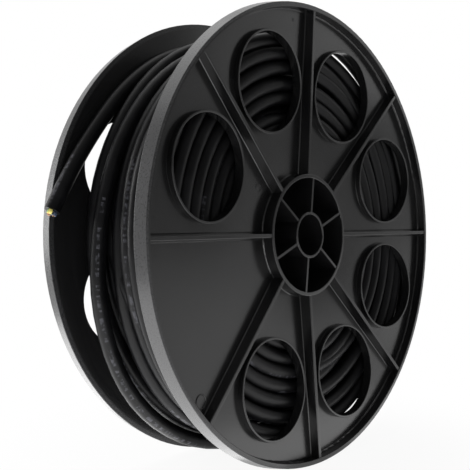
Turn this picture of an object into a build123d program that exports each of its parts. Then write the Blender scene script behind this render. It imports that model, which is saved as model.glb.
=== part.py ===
from build123d import *
import os
from math import atan2, cos, degrees, pi, radians, sin, tan

# A plastic reel that stands on its two rims, wound with rubber-sheathed power cable.
# The reel's axis is Y, its front flange faces -Y, +Z is up, and the origin is the middle of its bore.

# Reel: two like mouldings that meet face to face in the middle of the barrel
flange_diameter = 300.0
reel_width = 90.6
panel_thickness = 2.4
dish_depth = 8.1
reel_turn = 0.8

# Rim round each flange, smaller at its outer edge so that it leaves the mould
rim_width = 8.3
rim_draft = 1.5
rim_lip = 3.0

# Barrel, which shows outside as the hub ring, with webs to the spindle tube inside it
barrel_diameter = 80.0
barrel_wall = 2.4
barrel_root_round = 3.0
hub_recess = 6.1
spindle_bore = 27.0
spindle_tube_wall = 1.7
web_count = 6
web_thickness = 1.7
web_turn = 22.5

# Ribs and hand holes of a flange: one sector in eight has no hole
rib_count = 8
rib_thickness = 2.4
rib_draft = 1.1
hole_diameter = 61.2
hole_pitch_diameter = 206.2
blank_sector = 4
collar_wall = 1.5
collar_height = 3.9
base_round = 1.0
collar_base_round = 0.5
edge_round = 0.4
flare_share = 1.3
foot_sink = 0.12

# Cable, wound in layers between the flanges
cable_diameter = 9.4
layer_count = 10
winding_clearance = 0.3
layer_lay_share = 0.97
valley_share = 0.3

# Loose turns of the last layer: angle round the reel, share of the layer's radius, share of the room to the flange
hanging_turn_shares = [
    (140, 0.975, 0.53),
    (160, 0.995, 0.56),
    (178, 1.018, 0.57),
    (192, 1.048, 0.58),
    (206, 1.078, 0.59),
    (224, 1.103, 0.61),
    (242, 1.122, 0.63),
    (260, 1.128, 0.63),
    (280, 1.112, 0.62),
    (305, 1.075, 0.60),
    (335, 1.025, 0.56),
    (365, 0.975, 0.53),
]
front_turn_shares = [
    (-125, 0.975, -0.72),
    (-105, 1.025, -0.84),
    (-85, 1.098, -0.96),
    (-65, 1.127, -1.0),
    (-30, 1.127, -1.0),
    (0, 1.127, -1.0),
    (30, 1.127, -1.0),
    (65, 1.127, -1.0),
    (85, 1.098, -0.96),
    (105, 1.025, -0.84),
    (125, 0.975, -0.72),
]

# Free end of the cable: it goes on from the last turn beside the rear flange, and ends at the rear rim
tail_route = [
    (0.0, 27.8, 127.5),
    (-25.5, 28.7, 129.2),
    (-65.2, 30.0, 116.8),
    (-97.0, 30.6, 93.6),
    (-120.2, 31.1, 65.6),
    (-139.8, 31.6, 36.4),
    (-151.4, 31.8, 14.0),
]
tail_bend_share = 0.45

# Insulated cores that stand out of the cut end
core_diameter = 3.0
core_stand_out = 2.4
core_names = ["brown", "blue", "earth"]
core_ring_share = 0.6
core_turn = 95.0

flange_radius = flange_diameter / 2
barrel_radius = barrel_diameter / 2
half_width = reel_width / 2
rim_edge = half_width - rim_width
rim_top_radius = flange_radius - rim_draft
rim_inner_radius = rim_top_radius - rim_lip
hub_top = half_width - hub_recess
bore_radius = spindle_bore / 2
cell_radius = barrel_radius - barrel_wall
tube_radius = bore_radius + spindle_tube_wall
slope = dish_depth / (flange_radius - barrel_radius)
sector_angle = 360 / rib_count
layer_pitch = cable_diameter * layer_lay_share
winding_inside = barrel_radius + winding_clearance
last_radius = winding_inside + (layer_count - 1 / 2) * layer_pitch
hole_sectors = [sector for sector in range(rib_count) if sector != blank_sector]


def inner_face(radius):
    """Height of the flange's inner face above the joint, at a radius."""
    return rim_edge - slope * (flange_radius - radius)


def panel_face(radius):
    """Height of the flange's outer face above the joint, at a radius."""
    return inner_face(radius) + panel_thickness


def corner(sketch, x, y, radius):
    """Rounds the corner of a profile that lies at x, y."""
    place = Vector(x, y)
    nearest = sketch.vertices().sort_by(lambda vertex: (Vector(vertex) - place).length)[0]
    return fillet(nearest, radius)


def turned(profile):
    """Turns a profile, drawn as radius across and height up, about the Z axis."""
    return revolve(Plane.XZ * profile, axis=Axis.Z)


def flange_and_barrel():
    """Rim, dished panel, hub ring and barrel, turned as one profile."""
    barrel_root = (barrel_radius, inner_face(barrel_radius))
    rim_foot = (rim_inner_radius, panel_face(rim_inner_radius))
    hub_foot = (barrel_radius, panel_face(barrel_radius))
    edges = [
        (flange_radius, rim_edge),
        (rim_top_radius, half_width),
        (rim_inner_radius, half_width),
        (barrel_radius, hub_top),
        (cell_radius, hub_top),
    ]
    points = [(cell_radius, 0), (barrel_radius, 0), barrel_root, *edges[:3], rim_foot, hub_foot, *edges[3:]]
    profile = make_face(Polyline(points, close=True))
    profile = corner(profile, *barrel_root, barrel_root_round)
    for foot in (rim_foot, hub_foot):
        profile = corner(profile, *foot, base_round)
    for edge in edges:
        profile = corner(profile, *edge, edge_round)
    return turned(profile)


def spindle_tube():
    """Tube round the bore."""
    edges = [(tube_radius, hub_top), (bore_radius, hub_top)]
    profile = make_face(Polyline([(bore_radius, 0), (tube_radius, 0), *edges], close=True))
    for edge in edges:
        profile = corner(profile, *edge, edge_round)
    return turned(profile)


def web():
    """One web between the spindle tube and the barrel."""
    inner = tube_radius - spindle_tube_wall / 2
    outer = barrel_radius - barrel_wall / 2
    plan = Pos((inner + outer) / 2, 0) * Rectangle(outer - inner, web_thickness)
    return extrude(plan, hub_top - edge_round)


def rib_section(radius, top):
    """Section of a rib at one radius, with drafted sides and a flared foot in the panel."""
    half = rib_thickness / 2
    side = half + rib_draft
    foot = side + base_round * flare_share
    bottom = -panel_thickness / 2
    height = top - panel_face(radius)
    feet = [(side, -foot_sink), (-side, -foot_sink)]
    tops = [(half, height), (-half, height)]
    points = [(-foot, bottom), (foot, bottom), (foot, -foot_sink), feet[0], *tops, feet[1], (-foot, -foot_sink)]
    section = make_face(Polyline(points, close=True))
    for place in feet:
        section = corner(section, *place, base_round)
    for place in tops:
        section = corner(section, *place, edge_round)
    return Plane(origin=(radius, 0, panel_face(radius)), x_dir=(0, 1, 0), z_dir=(1, 0, 0)) * section


def rib():
    """One radial rib, whose top runs straight from the hub ring's edge to the rim's edge."""
    start = barrel_radius - barrel_wall / 2
    end = rim_inner_radius + rim_lip / 2
    return loft([rib_section(start, hub_top - edge_round), rib_section(end, half_width - edge_round)], ruled=True)


def collar():
    """Raised edge of one hand hole, turned about the hole's own axis."""
    inside = hole_diameter / 2
    outside = inside + collar_wall
    foot = outside + collar_base_round * flare_share
    bottom = -panel_thickness / 2
    tops = [(outside, collar_height), (inside, collar_height)]
    points = [(inside, bottom), (foot, bottom), (foot, -foot_sink), (outside, -foot_sink), *tops]
    section = make_face(Polyline(points, close=True))
    section = corner(section, outside, -foot_sink, collar_base_round)
    for place in tops:
        section = corner(section, *place, edge_round)
    return turned(section)


def hole_place(sector):
    """Place of the hand hole in the middle of a sector, square to the dished panel."""
    pitch = hole_pitch_diameter / 2
    tilt = degrees(atan2(slope, 1))
    return Rot(0, 0, (sector + 1 / 2) * sector_angle) * Pos(pitch, 0, panel_face(pitch)) * Rot(0, -tilt, 0)


def reel_half():
    """One moulding, with its outer face up and its joint face on z = 0."""
    half = flange_and_barrel() + spindle_tube()
    half += [Rot(0, 0, web_turn + number * 360 / web_count) * web() for number in range(web_count)]
    half += [Rot(0, 0, number * sector_angle) * rib() for number in range(rib_count)]
    hole = extrude(Circle(hole_diameter / 2), rim_width, both=True)
    half -= [hole_place(sector) * hole for sector in hole_sectors]
    half += [hole_place(sector) * collar() for sector in hole_sectors]
    return Rot(0, 0, reel_turn) * half


def wound_layers():
    """All the turns on the barrel as one turned solid, with a row of turns on its ends and outside."""
    valley = cable_diameter * valley_share
    outside = winding_inside + layer_count * layer_pitch - valley

    def end(radius):
        return inner_face(radius) - winding_clearance

    def side_turn(near, far, side):
        places = [(near, end(near) - valley), ((near + far) / 2, end((near + far) / 2)), (far, end(far) - valley)]
        return ThreePointArc(*[(radius, side * height) for radius, height in places])

    bore_end = end(winding_inside) - valley
    edges = [Line((winding_inside, bore_end), (winding_inside, -bore_end))]
    for layer in range(layer_count):
        near = winding_inside + layer * layer_pitch
        far = min(near + layer_pitch, outside)
        edges += [side_turn(near, far, side) for side in (1, -1)]
    half_length = end(outside) - valley
    turns = int(2 * end(last_radius) / cable_diameter)
    turn_pitch = 2 * half_length / turns
    for turn in range(turns):
        low = -half_length + turn * turn_pitch
        high = low + turn_pitch
        edges.append(ThreePointArc((outside, low), (outside + valley, (low + high) / 2), (outside, high)))
    return Rot(90, 0, 0) * turned(make_face(edges))


def tube(path, diameter):
    """Round bar along a path."""
    return sweep(Plane(origin=path @ 0, z_dir=path % 0) * Circle(diameter / 2), path)


def loose_turn(shares):
    """One turn that stands off the last layer for part of its way round, and runs into it at both ends."""
    points = []
    for angle, radius_share, place_share in shares:
        radius = last_radius * radius_share
        room = inner_face(radius) - winding_clearance - cable_diameter / 2
        points.append((radius * cos(radians(angle)), room * place_share, radius * sin(radians(angle))))
    return tube(Spline(*points), cable_diameter)


def winding():
    """The wound layers with their loose turns, and a channel in which the free end leaves them."""
    turns = wound_layers() + loose_turn(hanging_turn_shares) + loose_turn(front_turn_shares)
    return turns - tube(tail_path(), cable_diameter + 2 * winding_clearance)


def tail_radii():
    """Largest bend that the runs on both sides of each point of the route leave room for."""
    points = [Vector(*point) for point in tail_route]
    radii = []
    for before, here, after in zip(points, points[1:], points[2:]):
        turn = radians((here - before).get_angle(after - here))
        shorter = min((here - before).length, (after - here).length)
        radii.append(tail_bend_share * shorter / tan(turn / 2))
    return radii


def tail_path():
    """Route of the free end, bent round at its points."""
    return FilletPolyline(*tail_route, radius=tail_radii())


def tail():
    """Free end of the cable, and the plane of its cut end."""
    path = tail_path()
    bar = tube(path, cable_diameter)
    expected = pi * (cable_diameter / 2) ** 2 * path.length
    print("tail length", round(path.length, 1), "volume share", round(bar.volume / expected, 4))
    return bar, Plane(origin=path @ 1, z_dir=path % 1)


def core(end_plane, number):
    """One insulated core where it stands out of the cut end."""
    angle = radians(core_turn + number * 360 / len(core_names))
    ring = core_diameter * core_ring_share
    stub = Cylinder(core_diameter / 2, core_stand_out, align=(Align.CENTER, Align.CENTER, Align.MIN))
    return end_plane * Pos(ring * cos(angle), ring * sin(angle), 0) * stub


front = Rot(90, 0, 0) * reel_half()
cable_tail, cut_end = tail()
parts = {
    "front_reel_half": front,
    "rear_reel_half": Rot(0, 0, 180) * front,
    "cable_winding": winding(),
    "cable_tail": cable_tail,
}
for number, name in enumerate(core_names):
    parts["cable_core_" + name] = core(cut_end, number)

os.makedirs("parts", exist_ok=True)
for name, shape in parts.items():
    export_step(shape, os.path.join("parts", name + ".step"))
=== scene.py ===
from math import cos, pi, radians, sin

import bpy
import numpy as np
from mathutils import Matrix, Vector


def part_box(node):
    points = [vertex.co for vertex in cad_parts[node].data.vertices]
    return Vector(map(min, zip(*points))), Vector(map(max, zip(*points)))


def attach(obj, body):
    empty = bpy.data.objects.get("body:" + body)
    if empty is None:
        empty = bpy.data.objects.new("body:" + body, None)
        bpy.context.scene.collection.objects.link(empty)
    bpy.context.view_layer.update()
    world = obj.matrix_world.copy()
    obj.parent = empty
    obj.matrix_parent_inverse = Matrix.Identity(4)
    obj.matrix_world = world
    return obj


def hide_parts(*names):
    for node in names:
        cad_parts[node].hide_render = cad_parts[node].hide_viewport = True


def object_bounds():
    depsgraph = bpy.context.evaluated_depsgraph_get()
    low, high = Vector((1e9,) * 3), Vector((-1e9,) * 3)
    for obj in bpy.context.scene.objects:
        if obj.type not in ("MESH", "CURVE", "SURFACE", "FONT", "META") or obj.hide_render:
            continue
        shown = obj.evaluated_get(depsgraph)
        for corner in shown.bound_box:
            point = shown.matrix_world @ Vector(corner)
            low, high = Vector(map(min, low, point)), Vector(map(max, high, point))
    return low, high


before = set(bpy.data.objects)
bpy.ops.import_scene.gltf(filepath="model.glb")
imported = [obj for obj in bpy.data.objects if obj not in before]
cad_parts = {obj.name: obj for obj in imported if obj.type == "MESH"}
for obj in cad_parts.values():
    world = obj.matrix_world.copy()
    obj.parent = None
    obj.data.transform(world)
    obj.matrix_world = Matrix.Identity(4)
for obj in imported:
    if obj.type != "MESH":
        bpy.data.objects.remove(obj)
cad_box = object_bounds()
scene = bpy.context.scene


# Camera: level with the bore, in front of the reel and to its left, so that the front flange shows at a slant
# and the winding shows between the two rims. The lens is a short telephoto, as for a product picture.
camera_place = Vector((-0.3993, -0.3287, -0.0018))
camera_aim = Vector((0.74637, 0.66552, 0.00393))
camera_up = Vector((0.0, -0.006, 1.0))
camera_lens = 57.21
camera_sensor = 36.0

camera_right = camera_aim.cross(camera_up).normalized()
camera_data = bpy.data.cameras.new("camera")
camera_data.lens = camera_lens
camera_data.sensor_width = camera_sensor
camera = bpy.data.objects.new("camera", camera_data)
camera_axes = Matrix((camera_right, camera_right.cross(camera_aim), -camera_aim)).transposed()
camera.matrix_world = Matrix.Translation(camera_place) @ camera_axes.to_4x4()
scene.collection.objects.link(camera)
scene.camera = camera


# Free end of the cable: round power cable with a black rubber sheath, extruded over its cores. It is the last
# stretch of the winding, let go of at the top, so that it springs off the last layer and lies against the
# rear rim.
cable_diameter = 0.0094
cable_sides = 16
cut_edge_angle = radians(50)
tail_route = [
    (0.0, 0.0278, 0.1275),
    (-0.0255, 0.0287, 0.1292),
    (-0.0652, 0.0300, 0.1168),
    (-0.0970, 0.0306, 0.0936),
    (-0.1202, 0.0311, 0.0656),
    (-0.1398, 0.0316, 0.0364),
    (-0.1514, 0.0318, 0.0140),
]
tail_steps = 24
tail_curve_order = 3
# Length mark on the cable where the tail begins. The print is spaced by these marks.
tail_start_mark = 36.0


def put(tree, kind, inputs=(), **settings):
    """Adds a node with its settings. An input takes a value, or a link where the value is a socket."""
    made = tree.nodes.new(kind)
    for name, value in settings.items():
        setattr(made, name, value)
    for key, value in dict(inputs).items():
        if isinstance(value, bpy.types.NodeSocket):
            tree.links.new(value, made.inputs[key])
        else:
            made.inputs[key].default_value = value
    return made


def number_math(tree, operation, first, second=0.0):
    """Adds a Math node and gives its result."""
    return put(tree, "ShaderNodeMath", {0: first, 1: second}, operation=operation).outputs[0]


def vector_math(tree, operation, first, second=(0.0, 0.0, 0.0)):
    """Adds a Vector Math node and gives its vector."""
    return put(tree, "ShaderNodeVectorMath", {0: first, 1: second}, operation=operation).outputs["Vector"]


def ranged(tree, value, low, high, to_low=0.0, to_high=1.0, smooth="LINEAR"):
    """Adds a Map Range node, which takes low and high to the two given ends and stops there."""
    inputs = {"Value": value, "From Min": low, "From Max": high, "To Min": to_low, "To Max": to_high}
    return put(tree, "ShaderNodeMapRange", inputs, interpolation_type=smooth).outputs["Result"]


def noise(tree, place, scale, detail=2.0, roughness=0.5):
    """Adds a noise texture at a place and gives its value, from 0 to 1."""
    inputs = {"Vector": place, "Scale": scale, "Detail": detail, "Roughness": roughness}
    return put(tree, "ShaderNodeTexNoise", inputs).outputs["Fac"]


def blended(tree, share, first, second):
    """Adds a colour mix and gives its colour. The node's two colours are its inputs 6 and 7."""
    inputs = {"Factor": share, 6: first, 7: second}
    return put(tree, "ShaderNodeMix", inputs, data_type="RGBA").outputs[2]


def surface_of(name):
    """Makes a material and gives it, its node tree and its shader."""
    material = bpy.data.materials.new(name)
    material.use_nodes = True
    return material, material.node_tree, material.node_tree.nodes["Principled BSDF"]


def bumped(tree, shader, height, strength, depth):
    """Gives a shader fine relief from a height."""
    bump = put(tree, "ShaderNodeBump", {"Height": height, "Strength": strength, "Distance": depth})
    tree.links.new(bump.outputs["Normal"], shader.inputs["Normal"])


def ink_dashes(tree, place, unrolled):
    """How much ink there is: a worn row of plain dashes in groups, which drifts slowly round the cable."""
    dash_length = 0.0012
    dash_gaps = 0.45
    group_length = 0.095
    group_gaps = 0.55
    group_shift = 0.036
    row_angle = radians(-122)
    row_edge = (0.964, 0.982)
    drift_angle = 0.3
    drift_rate = 2.3
    wear_scale = 420.0
    wear_range = (0.40, 0.62)
    flat = (1.0, 1.0, 0.0)
    along = put(tree, "ShaderNodeSeparateXYZ", {0: unrolled}).outputs["Z"]
    around = vector_math(tree, "NORMALIZE", vector_math(tree, "MULTIPLY", unrolled, flat))
    drift = number_math(tree, "SINE", number_math(tree, "MULTIPLY", along, drift_rate))
    angle = number_math(tree, "ADD", number_math(tree, "MULTIPLY", drift, drift_angle), row_angle)
    row = {"X": number_math(tree, "COSINE", angle), "Y": number_math(tree, "SINE", angle)}
    row = put(tree, "ShaderNodeCombineXYZ", row).outputs["Vector"]
    toward = put(tree, "ShaderNodeVectorMath", {0: around, 1: row}, operation="DOT_PRODUCT")
    printed = ranged(tree, toward.outputs["Value"], *row_edge)
    for length, shift, gaps in ((dash_length, 0.0, dash_gaps), (group_length, group_shift, group_gaps)):
        number = number_math(tree, "DIVIDE", number_math(tree, "ADD", along, shift), length)
        number = number_math(tree, "FLOOR", number)
        draw = put(tree, "ShaderNodeTexWhiteNoise", {"W": number}, noise_dimensions="1D").outputs["Value"]
        printed = number_math(tree, "MULTIPLY", printed, number_math(tree, "GREATER_THAN", draw, gaps))
    worn = ranged(tree, noise(tree, place, wear_scale), *wear_range)
    return number_math(tree, "MULTIPLY", printed, worn)


def rubber_sheath():
    """Black rubber with drawn streaks along the cable, a film of talc, and a row of plain ink dashes."""
    material, tree, shader = surface_of("rubber_sheath")
    black = (0.0024, 0.0024, 0.0028, 1.0)
    talc = (0.0065, 0.0065, 0.0074, 1.0)
    ink = (0.050, 0.050, 0.058, 1.0)
    film_scale = 38.0
    film_shows = (0.42, 0.72)
    film_tones = (0.3, 0.7)
    sheath_roughness = (0.34, 0.46)
    sheath_gloss = 0.15
    streak_stretch = (1.0, 1.0, 0.03)
    streak_scale = 900.0
    streak_share = 0.6
    grain_scale = 2600.0
    grain_share = 0.4
    relief_strength = 0.35
    relief_depth = 0.00012
    place = put(tree, "ShaderNodeTexCoord").outputs["Object"]
    unrolled = put(tree, "ShaderNodeAttribute", attribute_name="cable_place").outputs["Vector"]
    film = noise(tree, place, film_scale, detail=5.0, roughness=0.65)
    colour = blended(tree, ranged(tree, film, *film_shows), black, talc)
    colour = blended(tree, ink_dashes(tree, place, unrolled), colour, ink)
    tree.links.new(colour, shader.inputs["Base Color"])
    tree.links.new(ranged(tree, film, *film_tones, *sheath_roughness), shader.inputs["Roughness"])
    shader.inputs["Specular IOR Level"].default_value = sheath_gloss
    streaks = noise(tree, vector_math(tree, "MULTIPLY", unrolled, streak_stretch), streak_scale)
    streaks = number_math(tree, "MULTIPLY", streaks, streak_share)
    grain = number_math(tree, "MULTIPLY", noise(tree, place, grain_scale), grain_share)
    bumped(tree, shader, number_math(tree, "ADD", streaks, grain), relief_strength, relief_depth)
    return material


def node_tree(name, inputs, result):
    """Makes a Geometry Nodes tree with named inputs and one result. Gives the tree and its inputs."""
    tree = bpy.data.node_groups.new(name, "GeometryNodeTree")
    for label, kind in inputs.items():
        tree.interface.new_socket(label, in_out="INPUT", socket_type="NodeSocket" + kind)
    tree.interface.new_socket(result, in_out="OUTPUT", socket_type="NodeSocketGeometry")
    return tree, put(tree, "NodeGroupInput").outputs


def end_tree(tree, geometry, material, result):
    """Ends a tree with real geometry in its material."""
    real = put(tree, "GeometryNodeRealizeInstances", {"Geometry": geometry}).outputs["Geometry"]
    dressed = put(tree, "GeometryNodeSetMaterial", {"Geometry": real, "Material": material})
    put(tree, "NodeGroupOutput", {result: dressed.outputs["Geometry"]})


def stored(tree, geometry, name, value, kind="FLOAT"):
    """Keeps a value on each point of a geometry under a name."""
    inputs = {"Geometry": geometry, "Name": name, "Value": value}
    return put(tree, "GeometryNodeStoreNamedAttribute", inputs, data_type=kind).outputs["Geometry"]


def recalled(tree, name, kind="FLOAT"):
    """Gives the value that is kept under a name."""
    return put(tree, "GeometryNodeInputNamedAttribute", {"Name": name}, data_type=kind).outputs["Attribute"]


def circle(tree, diameter, sides):
    """A round curve about Z."""
    inputs = {"Resolution": sides, "Radius": number_math(tree, "DIVIDE", diameter, 2.0)}
    return put(tree, "GeometryNodeCurvePrimitiveCircle", inputs).outputs["Curve"]


def cable_tree():
    """Sweeps the cable's round section along a path, and keeps each point's place as if laid straight."""
    inputs = {"Path": "Geometry", "Cable Diameter": "Float", "Sides": "Int", "Length Before": "Float"}
    inputs["Sheath"] = "Material"
    tree, given = node_tree("cable_along_path", inputs, "Cable")

    path = put(tree, "GeometryNodeMeshToCurve", {"Mesh": given["Path"]}).outputs["Curve"]
    tangent = put(tree, "GeometryNodeInputTangent").outputs["Tangent"]
    reel_axis = put(tree, "ShaderNodeCombineXYZ", {"Y": 1.0}).outputs["Vector"]
    across = vector_math(tree, "SUBTRACT", reel_axis, vector_math(tree, "PROJECT", reel_axis, tangent))
    across = vector_math(tree, "NORMALIZE", across)
    path = put(tree, "GeometryNodeSetCurveNormal", {"Curve": path, "Normal": across}, mode="FREE")
    length = put(tree, "GeometryNodeSplineParameter").outputs["Length"]
    length = number_math(tree, "ADD", length, given["Length Before"])
    path = stored(tree, path.outputs["Curve"], "path_length", length)

    section = circle(tree, given["Cable Diameter"], given["Sides"])
    position = put(tree, "GeometryNodeInputPosition").outputs["Position"]
    section = stored(tree, section, "section_place", position, "FLOAT_VECTOR")
    sweep = {"Curve": path, "Profile Curve": section, "Fill Caps": True}
    cable = put(tree, "GeometryNodeCurveToMesh", sweep).outputs["Mesh"]

    place = put(tree, "ShaderNodeSeparateXYZ", {0: recalled(tree, "section_place", "FLOAT_VECTOR")}).outputs
    straight = {"X": place["X"], "Y": place["Y"], "Z": recalled(tree, "path_length")}
    straight = put(tree, "ShaderNodeCombineXYZ", straight).outputs["Vector"]
    cable = stored(tree, cable, "cable_place", straight, "FLOAT_VECTOR")
    cable = put(tree, "GeometryNodeSetShadeSmooth", {"Geometry": cable}).outputs["Geometry"]
    end_tree(tree, cable, given["Sheath"], "Cable")
    return tree


def grown(name, mesh, tree, values):
    """Runs a node tree on a mesh and gives an object that holds the result as a plain mesh."""
    piece = bpy.data.objects.new(name, mesh)
    scene.collection.objects.link(piece)
    modifier = piece.modifiers.new(tree.name, "NODES")
    modifier.node_group = tree
    for item in tree.interface.items_tree:
        if item.in_out == "INPUT" and item.name in values:
            modifier[item.identifier] = values[item.name]
    graph = bpy.context.evaluated_depsgraph_get()
    evaluated = piece.evaluated_get(graph)
    made = bpy.data.meshes.new_from_object(evaluated, preserve_all_data_layers=True, depsgraph=graph)
    piece.modifiers.remove(modifier)
    piece.data = made
    made.name = name
    return piece


def line_mesh(name, points):
    """A mesh of points joined one to the next."""
    mesh = bpy.data.meshes.new(name)
    mesh.from_pydata([tuple(point) for point in points], [(i, i + 1) for i in range(len(points) - 1)], [])
    return mesh


sheath_material = rubber_sheath()
cable_along_path = cable_tree()


def laid_cable(name, points, length_before):
    """The cable along a row of points."""
    values = {"Cable Diameter": cable_diameter, "Sides": cable_sides, "Sheath": sheath_material}
    values["Length Before"] = length_before
    piece = grown(name, line_mesh(name, points), cable_along_path, values)
    piece.data.set_sharp_from_angle(angle=cut_edge_angle)
    return piece


route_curve = bpy.data.curves.new("tail_route", "CURVE")
route_curve.dimensions = "3D"
route_curve.resolution_u = tail_steps
route_spline = route_curve.splines.new("NURBS")
route_spline.points.add(len(tail_route) - 1)
for point, place in zip(route_spline.points, tail_route):
    point.co = (*place, 1.0)
route_spline.order_u = tail_curve_order
route_spline.use_endpoint_u = True
route_object = bpy.data.objects.new("tail_route", route_curve)
scene.collection.objects.link(route_object)
tail_points = [vertex.co.copy() for vertex in bpy.data.meshes.new_from_object(route_object).vertices]
bpy.data.objects.remove(route_object)
tail = laid_cable("cable_tail_end", tail_points, tail_start_mark)
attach(tail, "root")
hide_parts("cable_tail")


# Cores at the cut end: three conductors of fine copper wires, each in a sleeve of coloured insulation. The
# cable was cut off with a cutter, so the cores stand out of the sheath by a few millimetres and their ends
# are bare.
core_colours = {
    "brown": (0.075, 0.026, 0.012, 1.0),
    "blue": (0.040, 0.060, 0.105, 1.0),
    "earth": (0.92, 0.80, 0.22, 1.0),
}
earth_green = (0.05, 0.26, 0.05, 1.0)
core_radius = 0.0015
core_sides = 32
sleeve_wall = 0.0007
sleeve_round = 0.00018
wire_count = 24
wire_diameter = 0.00026
wire_stand_out = 0.0002
wire_sides = 8
wire_seed = 4
golden_angle = pi * (3 - 5 ** 0.5)
full_turn = 2 * pi


def core_insulation(name, colour, stripe):
    """Insulation with a soft sheen and pale bruises from the blade, striped on the earth core."""
    material, tree, shader = surface_of(name)
    tone_scale = 2200.0
    tone_range = (0.3, 0.7)
    insulation_roughness = (0.32, 0.48)
    bruise_range = (0.55, 0.8)
    bruise_most = 0.35
    paleness = 0.4
    stripe_turn = 0.25
    stripe_start = 0.20
    place = put(tree, "ShaderNodeTexCoord").outputs
    tone = noise(tree, place["Object"], tone_scale, detail=3.0)
    around = put(tree, "ShaderNodeSeparateXYZ", {0: place["UV"]}).outputs["X"]
    around = number_math(tree, "PINGPONG", around, stripe_turn)
    base = blended(tree, number_math(tree, "GREATER_THAN", around, stripe_start), colour, stripe)
    pale = tuple((1 - paleness) * channel + paleness for channel in colour[:3]) + (1.0,)
    bruise = ranged(tree, tone, *bruise_range, 0.0, bruise_most)
    tree.links.new(blended(tree, bruise, base, pale), shader.inputs["Base Color"])
    tree.links.new(ranged(tree, tone, *tone_range, *insulation_roughness), shader.inputs["Roughness"])
    return material


def cut_copper():
    """Freshly cut bare copper, brighter in places."""
    material, tree, shader = surface_of("cut_copper")
    dull = (0.72, 0.36, 0.17, 1.0)
    bright = (0.95, 0.66, 0.40, 1.0)
    tone_scale = 5200.0
    tone_range = (0.3, 0.7)
    copper_roughness = (0.22, 0.38)
    place = put(tree, "ShaderNodeTexCoord").outputs["Object"]
    tone = noise(tree, place, tone_scale, detail=3.0)
    tree.links.new(blended(tree, ranged(tree, tone, *tone_range), dull, bright), shader.inputs["Base Color"])
    tree.links.new(ranged(tree, tone, *tone_range, *copper_roughness), shader.inputs["Roughness"])
    shader.inputs["Metallic"].default_value = 1.0
    return material


def wire_tree():
    """A bundle of round wires, packed as seeds are in a flower head, that stands along Z."""
    inputs = {"Base": "Geometry", "Wires": "Int", "Bundle Radius": "Float", "Wire Diameter": "Float"}
    inputs.update({"Height": "Float", "Wire Sides": "Int", "Uneven": "Float", "Seed": "Int"})
    inputs["Copper"] = "Material"
    tree, given = node_tree("copper_wire_bundle", inputs, "Bundle")

    index = put(tree, "GeometryNodeInputIndex").outputs["Index"]
    share = number_math(tree, "DIVIDE", number_math(tree, "ADD", index, 0.5), given["Wires"])
    radius = number_math(tree, "MULTIPLY", number_math(tree, "SQRT", share), given["Bundle Radius"])
    angle = number_math(tree, "MULTIPLY", index, golden_angle)
    x = number_math(tree, "MULTIPLY", radius, number_math(tree, "COSINE", angle))
    y = number_math(tree, "MULTIPLY", radius, number_math(tree, "SINE", angle))
    draw = {"ID": index, "Seed": given["Seed"]}
    draw = put(tree, "FunctionNodeRandomValue", draw, data_type="FLOAT").outputs[1]
    z = number_math(tree, "MULTIPLY", draw, given["Uneven"])
    z = number_math(tree, "ADD", z, number_math(tree, "DIVIDE", given["Height"], 2.0))
    place = put(tree, "ShaderNodeCombineXYZ", {"X": x, "Y": y, "Z": z}).outputs["Vector"]
    points = {"Count": given["Wires"], "Position": place}
    points = put(tree, "GeometryNodePoints", points).outputs["Points"]

    wire_radius = number_math(tree, "DIVIDE", given["Wire Diameter"], 2.0)
    wire = {"Vertices": given["Wire Sides"], "Radius": wire_radius, "Depth": given["Height"]}
    wire = put(tree, "GeometryNodeMeshCylinder", wire).outputs["Mesh"]
    bundle = put(tree, "GeometryNodeInstanceOnPoints", {"Points": points, "Instance": wire})
    end_tree(tree, bundle.outputs["Instances"], given["Copper"], "Bundle")
    return tree


def turned_mesh(name, profile, sides):
    """Turns a closed profile of radius and height about Z, with a UV map of turn and place on the profile."""
    count = len(profile)
    points, faces, corners = [], [], []
    for i in range(sides):
        turn, turn_after = i / sides, (i + 1) / sides
        angle = full_turn * turn
        points += [(radius * cos(angle), radius * sin(angle), height) for radius, height in profile]
        near, far = i * count, (i + 1) % sides * count
        for j in range(count):
            after = (j + 1) % count
            faces.append((near + j, far + j, far + after, near + after))
            corners += [(turn, j), (turn_after, j), (turn_after, j + 1), (turn, j + 1)]
    mesh = bpy.data.meshes.new(name)
    mesh.from_pydata(points, [], faces)
    layer = mesh.uv_layers.new(name="turn_and_profile")
    for loop, (turn, step) in zip(layer.data, corners):
        loop.uv = (turn, step / count)
    mesh.shade_smooth()
    return mesh


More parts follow.
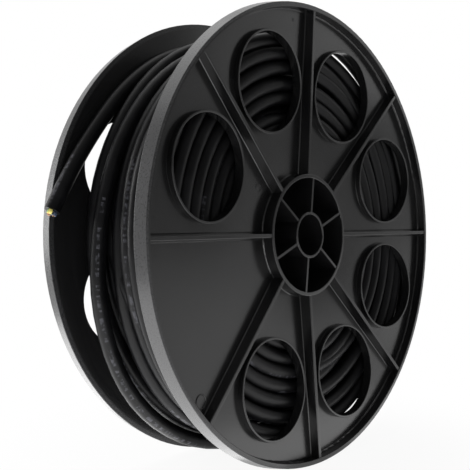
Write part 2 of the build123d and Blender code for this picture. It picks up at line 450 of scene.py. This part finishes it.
copper_material = cut_copper()
wire_bundle = wire_tree()
core_inside = core_radius - sleeve_wall
end_direction = (tail_points[-1] - tail_points[-2]).normalized()
end_axes = end_direction.to_track_quat("Z", "Y").to_matrix().to_4x4()
for core, colour in core_colours.items():
    node = "cable_core_" + core
    low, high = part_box(node)
    middle = (low + high) / 2
    reach = 2 * (middle - tail_points[-1]).dot(end_direction)
    foot = middle - end_direction * reach / 2
    placed = Matrix.Translation(foot) @ end_axes

    sleeve_name = "core_sleeve_" + core
    profile = [(core_radius, -reach / 2), (core_radius, reach - sleeve_round)]
    profile += [(core_radius - sleeve_round, reach), (core_inside + sleeve_round, reach)]
    profile += [(core_inside, reach - sleeve_round), (core_inside, -reach / 2)]
    sleeve = bpy.data.objects.new(sleeve_name, turned_mesh(sleeve_name, profile, core_sides))
    stripe = earth_green if core == "earth" else colour
    sleeve.data.materials.append(core_insulation("core_insulation_" + core, colour, stripe))
    sleeve.data.transform(placed)
    scene.collection.objects.link(sleeve)

    wires_name = "core_wires_" + core
    values = {"Wires": wire_count, "Wire Diameter": wire_diameter, "Wire Sides": wire_sides}
    values.update({"Bundle Radius": core_inside - wire_diameter / 2, "Height": reach + wire_stand_out})
    values.update({"Uneven": wire_stand_out / 2, "Seed": wire_seed, "Copper": copper_material})
    wires = grown(wires_name, bpy.data.meshes.new(wires_name), wire_bundle, values)
    wires.data.transform(placed)
    for piece in (sleeve, wires):
        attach(piece, "root")
    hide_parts(node)


# Reel halves: two like injection mouldings of black plastic, each with a dished flange, ribs, collared hand
# holes and half of the barrel. They meet in the middle of the barrel, and the winding hides the joint. The
# mould left thin raised rings on the panels.
rim_start_radius = 0.1462
rim_full_radius = 0.1478
flange_dish = 0.0081
flange_dish_run = 0.1100
flange_slope = flange_dish / flange_dish_run
panel_depth = 0.0381
panel_depth_radius = 0.1325
mark_sides = 32
mark_line_sides = 8
# Mould marks: radius of the ring, width of its line, and places as radius and angle on the flange
mould_marks = {
    "gate_ring": {"radius": 0.0040, "line": 0.0009, "places": [(0.1384, 222.0)]},
    "pin_marks": {"radius": 0.0009, "line": 0.0004,
                  "places": [(0.1366, 176.3), (0.1362, 184.7), (0.1388, 97.1)]},
    "hub_ring": {"radius": 0.0024, "line": 0.0006, "places": [(0.0538, 147.4)]},
}


def between(tree, share, first, second):
    """Adds a number mix and gives its value. The node's two numbers are its inputs 2 and 3."""
    inputs = {"Factor": share, 2: first, 3: second}
    return put(tree, "ShaderNodeMix", inputs, data_type="FLOAT").outputs[0]


def moulded_plastic():
    """Black moulded plastic: an even fine grain, faint flow marks and scuffs, and a coarser, duller rim."""
    material, tree, shader = surface_of("moulded_black_plastic")
    panel_tones = (0.0055, 0.0055, 0.0058, 1.0), (0.0085, 0.0085, 0.0088, 1.0)
    panel_roughness = (0.17, 0.25)
    rim_tones = (0.016, 0.016, 0.017, 1.0), (0.032, 0.032, 0.033, 1.0)
    rim_roughness = (0.24, 0.34)
    tone_range = (0.25, 0.75)
    flow_scale = 14.0
    grain_scale = 2400.0
    rim_grain_scale = 900.0
    scuff_grey = (0.03, 0.03, 0.031, 1.0)
    scuff_share = 0.25
    scuff_stretch = (60.0, 60.0, 700.0)
    scuff_range = (0.66, 0.82)
    relief_strength = (0.10, 0.30)
    relief_depth = 0.00015
    flat = (1.0, 0.0, 1.0)
    place = put(tree, "ShaderNodeTexCoord").outputs["Object"]
    flat_place = vector_math(tree, "MULTIPLY", place, flat)
    radius = put(tree, "ShaderNodeVectorMath", {0: flat_place}, operation="LENGTH").outputs["Value"]
    rim = ranged(tree, radius, rim_start_radius, rim_full_radius, smooth="SMOOTHSTEP")
    flow = noise(tree, place, flow_scale, detail=4.0, roughness=0.6)
    grain = noise(tree, place, grain_scale)
    rim_grain = noise(tree, place, rim_grain_scale, detail=4.0)

    scuffs = noise(tree, vector_math(tree, "MULTIPLY", place, scuff_stretch), 1.0, detail=3.0)
    scuffs = number_math(tree, "MULTIPLY", ranged(tree, scuffs, *scuff_range), scuff_share)
    panel_colour = blended(tree, scuffs, blended(tree, flow, *panel_tones), scuff_grey)
    rim_colour = blended(tree, rim_grain, *rim_tones)
    tree.links.new(blended(tree, rim, panel_colour, rim_colour), shader.inputs["Base Color"])

    sheen = ranged(tree, flow, *tone_range, *panel_roughness)
    dulled = ranged(tree, rim_grain, *tone_range, *rim_roughness)
    tree.links.new(between(tree, rim, sheen, dulled), shader.inputs["Roughness"])
    strength = ranged(tree, rim, 0.0, 1.0, *relief_strength)
    bumped(tree, shader, between(tree, rim, grain, rim_grain), strength, relief_depth)
    return material


def mark_tree():
    """Sets a thin raised ring at each point, flat on the dished panel there."""
    inputs = {"Points": "Geometry", "Ring Diameter": "Float", "Line Width": "Float", "Ring Sides": "Int"}
    inputs.update({"Line Sides": "Int", "Plastic": "Material"})
    tree, given = node_tree("mould_marks", inputs, "Marks")
    ring = {"Curve": circle(tree, given["Ring Diameter"], given["Ring Sides"])}
    ring["Profile Curve"] = circle(tree, given["Line Width"], given["Line Sides"])
    ring = put(tree, "GeometryNodeCurveToMesh", ring).outputs["Mesh"]
    ring = put(tree, "GeometryNodeSetShadeSmooth", {"Geometry": ring}).outputs["Geometry"]
    outward = recalled(tree, "panel_normal", "FLOAT_VECTOR")
    turned = put(tree, "FunctionNodeAlignRotationToVector", {"Vector": outward}, axis="Z")
    marks = {"Points": given["Points"], "Instance": ring, "Rotation": turned.outputs["Rotation"]}
    marks = put(tree, "GeometryNodeInstanceOnPoints", marks).outputs["Instances"]
    end_tree(tree, marks, given["Plastic"], "Marks")
    return tree


def panel_points(name, places, side):
    """Points on the outside of a flange, from radius and angle, each with the panel's own direction."""
    points, normals = [], []
    for radius, angle in places:
        x, z = cos(radians(angle)), sin(radians(angle))
        depth = panel_depth + flange_slope * (radius - panel_depth_radius)
        points.append((side * radius * x, -side * depth, radius * z))
        normals.append(Vector((-side * flange_slope * x, -side, -flange_slope * z)).normalized())
    mesh = bpy.data.meshes.new(name)
    mesh.from_pydata(points, [], [])
    kept = mesh.attributes.new("panel_normal", "FLOAT_VECTOR", "POINT")
    kept.data.foreach_set("vector", [value for normal in normals for value in normal])
    return mesh


plastic = moulded_plastic()
marks_on_panel = mark_tree()
for side, half in ((1, "front"), (-1, "rear")):
    for kind, marks in mould_marks.items():
        name = half + "_" + kind
        values = {"Ring Diameter": 2 * marks["radius"], "Line Width": marks["line"], "Plastic": plastic}
        values.update({"Ring Sides": mark_sides, "Line Sides": mark_line_sides})
        piece = grown(name, panel_points(name, marks["places"], side), marks_on_panel, values)
        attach(piece, "root")
for node in ("front_reel_half", "rear_reel_half"):
    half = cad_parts[node]
    half.data.materials[0] = plastic


# Winding: one length of the cable, wound on the barrel in layers that run from flange to flange and back.
# Each turn lies level and then crosses over to the next one. The last turns are loose: they rise at the top
# and sag below.
barrel_radius = 0.0400
flange_radius = 0.1500
flange_inner_edge = 0.0370
flange_clearance = 0.0003
layer_nesting = 0.97
layer_pitch = layer_nesting * cable_diameter
full_layers = 9
points_per_turn = 72
# Angle at which the turns of each layer cross over, in degrees, counted on from layer to layer
cross_angles = [138.0, 60.0, 200.0, 330.0, 460.0, 610.0, 660.0, 740.0, 790.0]
cross_width = radians(95)
# Turns of the last layer: the angle at which each crosses over, and how far along and how far out it lies
last_cross_angles = [920.0, 920.0, 845.0, 845.0, 845.0, 845.0, 845.0]
last_places = [-0.0299, -0.0200, -0.0103, -0.0012, 0.0088, 0.0172, 0.0255]
last_radii = [0.1280, 0.1264, 0.1268, 0.1242, 0.1248, 0.1250, 0.1258]
# Loose turns, counted from the first one of the last layer: angle round the reel in degrees, how far out the
# cable lies there and how far along the reel.
loose_turns = {
    -8: [(0, 0.0012, 0), (67, 0.0026, 0), (130, 0.0004, 0), (190, 0, 0), (250, 0, 0), (310, 0.0006, 0)],
    -7: [(0, 0.0016, 0), (67, 0.0034, 0), (130, 0.0006, 0), (190, 0, 0), (250, 0.0008, 0),
         (300, 0.0034, 0)],
    0: [(0, 0.0008, 0), (67, 0, 0.0014), (130, 0, 0.0008), (190, 0, 0), (250, 0.0018, 0), (300, 0.0042, 0)],
    1: [(-72, 0.0168, -0.0120), (0, 0.0158, -0.0120), (44, 0.0127, -0.0120), (67, 0.0132, -0.0120),
        (95, 0.0076, -0.0070), (120, 0, 0), (180, 0, 0), (240, 0.0004, -0.0008), (266, 0.0082, -0.0060)],
    2: [(0, 0, 0), (45, 0, 0), (90, 0.0020, 0), (112, 0.0018, 0), (150, 0, 0), (200, 0, 0),
        (230, 0.0046, 0), (262, 0.0090, 0), (294, 0.0046, 0), (325, 0, 0)],
    3: [(0, 0, 0), (45, 0, 0), (90, 0.0030, 0), (112, 0.0028, 0), (150, 0, 0), (200, 0, 0),
        (230, 0.0046, 0), (262, 0.0090, 0), (294, 0.0046, 0), (325, 0, 0)],
    4: [(0, 0, 0), (45, 0, 0), (90, 0.0030, 0), (125, -0.0010, 0), (150, -0.0034, 0), (185, -0.0034, 0),
        (205, 0.0010, 0), (235, 0.0078, 0), (262, 0.0088, 0), (294, 0.0040, 0), (325, 0, 0)],
    5: [(0, 0, 0), (45, 0.0006, 0), (90, 0.0060, 0), (120, 0.0066, -0.0012), (150, 0.0032, -0.0020),
        (165, 0.0028, -0.0020), (180, 0.0046, -0.0008), (200, 0.0101, 0.0012), (225, 0.0169, 0.0022),
        (245, 0.0183, 0.0025), (268, 0.0176, 0.0025), (300, 0.0100, 0.0015), (330, 0.0024, 0.0004)],
    6: [(0, 0, 0), (45, 0.0006, 0), (90, 0.0055, 0), (115, 0.0050, 0), (150, 0.0004, 0), (195, 0.0004, 0),
        (220, 0.0030, 0), (240, 0.0066, 0), (262, 0.0095, 0), (294, 0.0046, 0), (325, 0, 0)],
}
wander_waves = [(0.31, 0.45), (0.77, 0.35), (1.83, 0.20)]
radius_wander = {"size": 0.0004, "phase": 1.0}
loose_wander = {"size": 0.0004, "phase": 2.0}
place_wander = {"size": 0.0006, "phase": 5.0}
settle_angle = radians(100)


def eased(share):
    """Goes from 0 to 1 with level ends."""
    share = np.clip(share, 0.0, 1.0)
    return share * share * (3 - 2 * share)


def end_reach(radius):
    """How far from the middle of the reel a turn of that radius can lie."""
    face = flange_inner_edge - flange_slope * (flange_radius - radius)
    return face - flange_clearance - cable_diameter / 2


def wander(angles, size, phase):
    """A slow, uneven drift along the cable, of waves that each have a rate and a share."""
    return size * sum(share * np.sin(rate * angles + phase * (1 + rate)) for rate, share in wander_waves)


def round_table(degrees_round, rows, column):
    """A smooth curve through one column of a table, closed round the reel."""
    knots = np.concatenate([[row[0] + turn for row in rows] for turn in (-360, 0, 360)])
    values = np.tile([row[column] for row in rows], 3)
    slopes = np.gradient(values, knots)
    low = np.clip(np.searchsorted(knots, degrees_round) - 1, 0, len(knots) - 2)
    step = knots[low + 1] - knots[low]
    share = (degrees_round - knots[low]) / step
    rest = 1 - share
    level = values[low] * rest ** 2 * (1 + 2 * share) + values[low + 1] * share ** 2 * (1 + 2 * rest)
    return level + step * share * rest * (slopes[low] * rest - slopes[low + 1] * share)


turn_radii, turn_places, turn_crossings = [], [], []
for layer in range(full_layers):
    radius = barrel_radius + cable_diameter / 2 + flange_clearance + layer * layer_pitch
    reach = end_reach(radius)
    turns = int(2 * reach / cable_diameter) + 1
    side = -1 if layer % 2 == 0 else 1
    for turn in range(turns):
        turn_radii.append(radius)
        turn_places.append(side * reach * (1 - 2 * turn / (turns - 1)))
        turn_crossings.append(cross_angles[layer])
first_last_turn = len(turn_radii)
turn_radii += last_radii
turn_places += last_places
turn_crossings += last_cross_angles
turn_count = len(turn_radii)

# The cable's path as angles from its inner end to the top of the reel, where the tail begins
crossings = [full_turn * n + radians(angle) for n, angle in enumerate(turn_crossings[1:])]
start_angle = crossings[0] - full_turn
end_angle = full_turn * round(crossings[-1] / full_turn) + full_turn + pi / 2
angles = np.linspace(start_angle, end_angle, int((end_angle - start_angle) / full_turn * points_per_turn))


def through_turns(values):
    """Carries a value of each turn along the cable, changing it where the cable crosses to the next turn."""
    carried = np.full(len(angles), values[0], float)
    for crossing, before, after in zip(crossings, values, values[1:]):
        carried += (after - before) * eased((angles - crossing) / cross_width + 0.5)
    return carried


degrees_round = np.degrees(angles) % 360
looseness = through_turns([0.0] * first_last_turn + [1.0] * len(last_places))
path_radius = through_turns(turn_radii)
path_place = through_turns(turn_places)
for number, rows in loose_turns.items():
    on_turn = through_turns([float(turn == first_last_turn + number) for turn in range(turn_count)])
    path_radius += on_turn * round_table(degrees_round, rows, 1)
    path_place += on_turn * round_table(degrees_round, rows, 2)
path_radius += wander(angles, **radius_wander) + looseness * wander(angles, **loose_wander)
path_place += wander(angles, **place_wander)

joint = Vector(tail_route[0])
settled = eased((angles - (end_angle - settle_angle)) / settle_angle)
path_radius += settled * (joint.z - path_radius[-1])
path_place += settled * (joint.y - path_place[-1])
most = end_reach(path_radius)
path_place = np.clip(path_place, -most, most)
winding_points = np.stack([path_radius * np.cos(angles), path_place, path_radius * np.sin(angles)], axis=1)
winding_length = float(np.linalg.norm(np.diff(winding_points, axis=0), axis=1).sum())
winding = laid_cable("wound_cable", winding_points, tail_start_mark - winding_length)
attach(winding, "root")
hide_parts("cable_winding")


# Studio: a white floor that the reel stands on, white all round behind it, and soft light from large panels,
# most of it from the left and from behind. Two low panels stand for the light that a white table throws back.
floor_reach = 4.0
floor_white = (0.92, 0.92, 0.92, 1.0)
paper_white = (1.0, 1.0, 1.0, 1.0)
shadow_share = 0.07
shadow_fade = (0.16, 0.30)
front_light = 0.24
back_light = 1.0
back_fade = (-0.05, 0.55)
reel_middle = (0.0, 0.0, 0.0)
soft_panels = {
    "back_softbox": {"place": (-0.75, 1.10, 0.05), "size": (0.6, 1.3), "power": 15.0},
    "top_softbox": {"place": (-0.10, 0.30, 1.30), "size": (1.4, 1.4), "power": 7.0},
    "right_softbox": {"place": (0.80, -0.38, -0.08), "size": (0.35, 0.8), "power": 0.30},
    "upper_right_softbox": {"place": (0.85, -0.52, 0.45), "size": (0.4, 0.5), "power": 0.56},
}
table_aim_height = 1.0
table_panels = {
    "left_table_light": {"place": (-0.26, 0.06, -0.147), "size": (0.40, 0.5), "power": 1.5},
    "right_table_light": {"place": (0.13, -0.11, -0.147), "size": (0.32, 0.11), "power": 0.11},
}


def white_paper():
    """White paper that keeps the reel's shadow and goes over into plain white further off."""
    material, tree, shader = surface_of("white_paper")
    fibre_scale = 300.0
    paper_roughness = 0.9
    place = put(tree, "ShaderNodeTexCoord").outputs["Object"]
    fibres = noise(tree, place, fibre_scale, detail=3.0)
    tree.links.new(blended(tree, fibres, floor_white, paper_white), shader.inputs["Base Color"])
    shader.inputs["Roughness"].default_value = paper_roughness

    off = put(tree, "ShaderNodeVectorMath", {0: place}, operation="LENGTH").outputs["Value"]
    plain = ranged(tree, off, *shadow_fade, 1.0 - shadow_share, 1.0, smooth="SMOOTHSTEP")
    rays = put(tree, "ShaderNodeLightPath").outputs
    seen = number_math(tree, "MAXIMUM", rays["Is Camera Ray"], rays["Is Glossy Ray"])
    seen = number_math(tree, "MAXIMUM", seen, rays["Is Transmission Ray"])
    plain = number_math(tree, "MULTIPLY", plain, seen)
    glow = put(tree, "ShaderNodeEmission", {"Color": paper_white, "Strength": 1.0}).outputs[0]
    mixed = put(tree, "ShaderNodeMixShader", {0: plain, 1: shader.outputs[0], 2: glow})
    tree.links.new(mixed.outputs[0], tree.nodes["Material Output"].inputs["Surface"])
    return material


floor_mesh = bpy.data.meshes.new("floor")
corners = [(-floor_reach, -floor_reach), (floor_reach, -floor_reach)]
corners += [(floor_reach, floor_reach), (-floor_reach, floor_reach)]
floor_mesh.from_pydata([(x, y, cad_box[0].z) for x, y in corners], [], [(0, 1, 2, 3)])
floor_mesh.materials.append(white_paper())
floor = bpy.data.objects.new("floor", floor_mesh)
scene.collection.objects.link(floor)

world = bpy.data.worlds.new("studio")
world.use_nodes = True
scene.world = world
studio = world.node_tree
direction = put(studio, "ShaderNodeTexCoord").outputs["Generated"]
depth = put(studio, "ShaderNodeSeparateXYZ", {0: direction}).outputs["Y"]
behind = ranged(studio, depth, *back_fade, smooth="SMOOTHSTEP")
level = ranged(studio, behind, 0.0, 1.0, front_light, back_light)
rays = put(studio, "ShaderNodeLightPath").outputs
mirrored = number_math(studio, "MAXIMUM", rays["Is Glossy Ray"], rays["Is Transmission Ray"])
mirrored = number_math(studio, "MULTIPLY", mirrored, behind)
white = number_math(studio, "MAXIMUM", rays["Is Camera Ray"], mirrored)
background = studio.nodes["Background"]
studio.links.new(number_math(studio, "MAXIMUM", level, white), background.inputs["Strength"])
background.inputs["Color"].default_value = paper_white


def soft_light(name, place, size, power, aim):
    """A flat lamp that faces a point and isn't seen itself."""
    lamp = bpy.data.lights.new(name, "AREA")
    lamp.shape = "RECTANGLE"
    lamp.size, lamp.size_y = size
    lamp.energy = power
    holder = bpy.data.objects.new(name, lamp)
    turned = (Vector(aim) - Vector(place)).to_track_quat("-Z", "Y").to_matrix().to_4x4()
    holder.matrix_world = Matrix.Translation(place) @ turned
    holder.visible_camera = False
    scene.collection.objects.link(holder)


for name, panel in soft_panels.items():
    soft_light(name, **panel, aim=reel_middle)
for name, panel in table_panels.items():
    soft_light(name, **panel, aim=(*panel["place"][:2], table_aim_height))

scene.view_settings.view_transform = "Standard"
